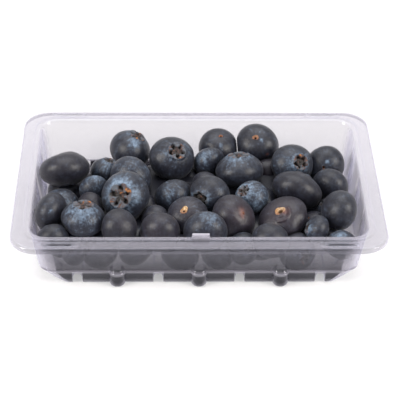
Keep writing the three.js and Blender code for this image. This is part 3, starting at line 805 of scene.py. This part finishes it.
def netFaces(rows, columns):  # faces between rings of points round a ball, each pole kept as one point
    last = (rows - 1) * columns
    keep = np.r_[0, np.arange(columns, last), last]
    number = np.clip(np.arange(rows * columns) - columns + 1, 0, len(keep) - 1).reshape(rows, columns).tolist()
    faces = []
    for upper, lower in zip(number, number[1:]):
        for j in range(columns):
            k = (j + 1) % columns
            faces.append(tuple(dict.fromkeys((upper[j], lower[j], lower[k], upper[k]))))
    return keep, faces


def angleFrom(directions, aim):
    aim = np.array(aim) / np.linalg.norm(aim)
    return np.arccos(np.clip(directions @ aim, -1, 1))


def surfaceReach(berry, aim):  # from the middle of a berry to its skin, along aim
    lean, turn = math.radians(berry["lean"]), math.radians(berry["turn"])
    axis = np.array([math.sin(lean) * math.sin(turn), -math.sin(lean) * math.cos(turn), math.cos(lean)])
    along = float(aim @ axis)
    r = berry["radius"]
    return 1 / math.sqrt((1 - along ** 2) / r ** 2 + along ** 2 / (r * berry["flat"]) ** 2)


def pressed(points, berry, others):  # flattened softly where two berries touch
    centre = np.array([berry["x"], berry["y"], berry["z"]])
    for other in others:
        toward = np.array([other["x"], other["y"], other["z"]]) - centre
        distance = float(np.linalg.norm(toward))
        if other is berry or distance > 1.1 * (berry["radius"] + other["radius"]):
            continue
        aim = toward / distance
        mine, theirs = surfaceReach(berry, aim), surfaceReach(other, -aim)
        over = mine + theirs - distance
        if over <= -0.1:
            continue
        plane = mine - over / 2 - 0.03
        beyond = (points - centre) @ aim - plane
        eased = -0.5 * (-beyond + np.sqrt(beyond ** 2 + 0.25))
        points = points + (eased - beyond)[:, None] * aim
    return points


def markBerries(berries):  # gives each berry its own marks, and sorts them by kind
    kinds = {name: [] for name in kindDetail}
    for i, berry in enumerate(berries):
        for name, marks in (("dents", dents), ("fold", folds), ("wax", waxPatches), ("rust", rustSpots)):
            if i in marks:
                berry[name] = marks[i]
        berry["scar"] = stemScars.get(i, usual["scar"] if berry["low"] else ())
        berry["calyx"] = crowns.get(i, usual["crown"])
        kind = "berries_crown_up" if i in crowns else "berries_side_on"
        if berry["leads"] == "stem":
            kind = "berries_stem_up"
        kinds["berries_below" if berry["low"] else kind].append(berry)
    return kinds


def makeBerries(berries, materials):
    for name, group in markBerries(berries).items():
        points, faces, kinds, fields = [], [], [], {}
        start = 0
        for berry in group:
            some, own, kind, values = berryMesh(berry, kindDetail[name])
            points.append(pressed(some, berry, berries))
            faces += [tuple(v + start for v in face) for face in own]
            kinds += kind
            for key, value in values.items():
                fields.setdefault(key, []).append(value)
            start += len(some)
        piece = meshPiece(name, np.concatenate(points), faces)
        mesh = piece.data
        for material in materials:
            mesh.materials.append(material)
        mesh.polygons.foreach_set("material_index", kinds)
        for key, values in fields.items():
            values = np.concatenate(values)
            vector = values.shape[1] == 3
            layer = mesh.attributes.new(key, "FLOAT_VECTOR" if vector else "FLOAT", "POINT")
            layer.data.foreach_set("vector" if vector else "value", values.astype(np.float32).ravel())
        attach(piece, "root")
        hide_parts("berries")
        print(name, "made:", len(group), "berries,", sum(len(f) - 2 for f in faces), "triangles")


def finished(material, height, distance, settings, links):  # the fruit's surface, finely uneven over its colours
    bump = addNode(material, "Bump", {"Strength": 0.5, "Distance": distance}, {"Height": height})
    shader = addNode(material, "BsdfPrincipled", settings, {"Normal": bump.outputs["Normal"], **links})
    addNode(material, "OutputMaterial", {}, {"Surface": shader.outputs["BSDF"]})
    return material


def blueberrySkin():  # fruit skin under a waxy bloom: dark, softly shining, pale blue where the wax is thick
    look = {
        "bare": "1a1b25", "worn": "343a48", "red": "3d2b32", "wax": "66788d", "frost": "92a2b8", "rust": "8c5748",
        "thin": (1.8, 2.5), "thick": (2.25, 2.85), "heavy": (2.7, 3.45),  # how much wax a layer needs to show
        "roughness": (0.34, 0.55), "bump": 0.0003,
    }
    # The wax lies in patches, streaks down from the crown, and specks: 4, 3 and 1 mm wide on a berry
    # of 8 mm radius, which is 1. Field, scale, detail, roughness, distortion and weight.
    patterns = {"patch": ("place", 1.9, 4.0, 0.6, 0.6, 0.9), "streak": ("streak", 2.8, 5.0, 0.65, 0.3, 1.3),
                "speck": ("place", 8.0, 5.0, 0.7, 0.0, 1.6)}
    material = newMaterial("blueberry skin, waxy bloom")
    read = {name: addNode(material, "Attribute", {"attribute_name": name}).outputs
            for name in ("place", "streak", "bloom", "blush", "rust")}
    noise, wax = {}, read["bloom"]["Fac"]
    for name, (field, scale, detail, rough, distortion, weight) in patterns.items():
        noise[name] = addNode(material, "TexNoise",
                              {"Scale": scale, "Detail": detail, "Roughness": rough, "Distortion": distortion},
                              {"Vector": read[field]["Vector"]}).outputs["Fac"]
        wax = addNode(material, "Math", {"operation": "MULTIPLY_ADD", 1: weight},
                      {0: noise[name], 2: wax}).outputs[0]
    share = {name: addNode(material, "MapRange", {"From Min": look[name][0], "From Max": look[name][1]},
                           {"Value": wax}).outputs[0] for name in ("thin", "thick", "heavy")}
    red = addNode(material, "Math", {"operation": "MULTIPLY"},
                  {0: read["blush"]["Fac"], 1: noise["patch"]}).outputs[0]
    rust = addNode(material, "Math", {"operation": "MULTIPLY", "use_clamp": True},
                   {0: read["rust"]["Fac"], 1: noise["speck"]}).outputs[0]
    colour = addNode(material, "Mix",
                     {"data_type": "RGBA", 6: linear(look["bare"]), 7: linear(look["worn"])},
                     {0: share["thin"]}).outputs[2]
    for amount, over in ((red, "red"), (share["thick"], "wax"), (share["heavy"], "frost"), (rust, "rust")):
        colour = addNode(material, "Mix", {"data_type": "RGBA", 7: linear(look[over])},
                         {0: amount, 6: colour}).outputs[2]
    smoothest, roughest = look["roughness"]
    roughness = addNode(material, "MapRange", {"To Min": smoothest, "To Max": roughest},
                        {"Value": share["thick"]}).outputs[0]
    return finished(material, noise["speck"], look["bump"],
                    {"IOR": 1.45, "Sheen Weight": 0.06, "Sheen Roughness": 0.5},
                    {"Base Color": colour, "Roughness": roughness})


def driedCalyx():  # the papery remains of the flower: grey and waxy outside, tan at the edges, dark grey-brown in its cup and painted near black as shade where the cup is deepest
    look = {
        # the pit colour is painted shade, deep in the cup
        "cup": "3d3a3a", "lobe": "5b6069", "pink": "54413f", "tan": "a46b3a", "pit": "14100f",
        "toPink": (0.76, 0.88), "toTan": (0.9, 0.98), "toneWeight": 0.22, "fineWeight": 0.35,
        "grain": (4.6, 0.6, 0.5), "fine": (12.0, 0.7, 0.0),  # 1.7 and 0.7 mm: scale, roughness, distortion
        "bump": 0.0004,
    }
    material = newMaterial("dried calyx, papery")
    read = {name: addNode(material, "Attribute", {"attribute_name": name}).outputs
            for name in ("place", "raised", "paintedShadeAndPit", "tone")}
    grain, fine = (addNode(material, "TexNoise",
                           {"Scale": scale, "Detail": 4.0, "Roughness": rough, "Distortion": distortion},
                           {"Vector": read["place"]["Vector"]}).outputs["Fac"]
                   for scale, rough, distortion in (look["grain"], look["fine"]))
    warm = addNode(material, "Math", {"operation": "MULTIPLY_ADD", 1: look["toneWeight"]},
                   {0: read["tone"]["Fac"], 2: grain}).outputs[0]
    warm = addNode(material, "Math", {"operation": "MULTIPLY_ADD", 1: look["fineWeight"]},
                   {0: fine, 2: warm}).outputs[0]
    pink, tan = (addNode(material, "MapRange", {"From Min": low, "From Max": high},
                         {"Value": warm}).outputs[0] for low, high in (look["toPink"], look["toTan"]))
    colour = addNode(material, "Mix",
                     {"data_type": "RGBA", 6: linear(look["cup"]), 7: linear(look["lobe"])},
                     {0: read["raised"]["Fac"]}).outputs[2]
    # the deepest part of the cup is painted near black as shade
    for amount, over in ((pink, "pink"), (tan, "tan"), (read["paintedShadeAndPit"]["Fac"], "pit")):
        colour = addNode(material, "Mix", {"data_type": "RGBA", 7: linear(look[over])},
                         {0: amount, 6: colour}).outputs[2]
    return finished(material, fine, look["bump"], {"Roughness": 0.7, "IOR": 1.4}, {"Base Color": colour})


def stemFibre():  # torn fibre where the stalk came off: an uneven straw rim beside a brown pit
    look = {"pit": "3a2412", "old": "74493a", "straw": "a9804f", "pale": "cfb999",
            "toPale": (0.45, 0.65), "grain": 10.0, "bump": 0.0003}  # the grain is 0.8 mm wide
    material = newMaterial("stem scar, torn fibre")
    read = {name: addNode(material, "Attribute", {"attribute_name": name}).outputs
            for name in ("place", "raised", "paintedShadeAndPit", "tone")}
    grain = addNode(material, "TexNoise", {"Scale": look["grain"], "Detail": 4.0},
                    {"Vector": read["place"]["Vector"]}).outputs["Fac"]
    fresh = addNode(material, "Math", {"operation": "MULTIPLY"},
                    {0: read["raised"]["Fac"], 1: read["tone"]["Fac"]}).outputs[0]
    low, high = look["toPale"]
    pale = addNode(material, "MapRange", {"From Min": low, "From Max": high}, {"Value": grain}).outputs[0]
    rim = addNode(material, "Mix",
                  {"data_type": "RGBA", 6: linear(look["straw"]), 7: linear(look["pale"])}, {0: pale}).outputs[2]
    colour = addNode(material, "Mix", {"data_type": "RGBA", 6: linear(look["old"])},
                     {0: fresh, 7: rim}).outputs[2]
    colour = addNode(material, "Mix", {"data_type": "RGBA", 7: linear(look["pit"])},
                     {0: read["paintedShadeAndPit"]["Fac"], 6: colour}).outputs[2]
    return finished(material, grain, look["bump"], {"Roughness": 0.7, "IOR": 1.4}, {"Base Color": colour})


def makeCore(skin):  # the hidden middle of the heap, so that no light comes through it
    rows, columns = 25, 48
    points = []
    for i in range(rows):
        for j in range(columns):
            polar, angle = math.pi * i / (rows - 1), 2 * math.pi * j / columns
            ball = (math.sin(polar) * math.cos(angle), math.sin(polar) * math.sin(angle), math.cos(polar))
            square = [math.copysign(abs(v) ** heap["coreSquareness"], v) for v in ball]
            points.append([s * half for s, half in zip(square, heap["core"])])
            points[-1][2] += heap["coreAt"]
    keep, faces = netFaces(rows, columns)
    piece = meshPiece("heap_core", np.array(points)[keep], faces)
    piece.data.materials.append(skin)
    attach(piece, "root")
    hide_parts("berries")
    print("core made")


makeCamera()
makeStage()
makeTray()
skin = blueberrySkin()
makeBerries(heapBerries(), (skin, driedCalyx(), stemFibre()))
makeCore(skin)
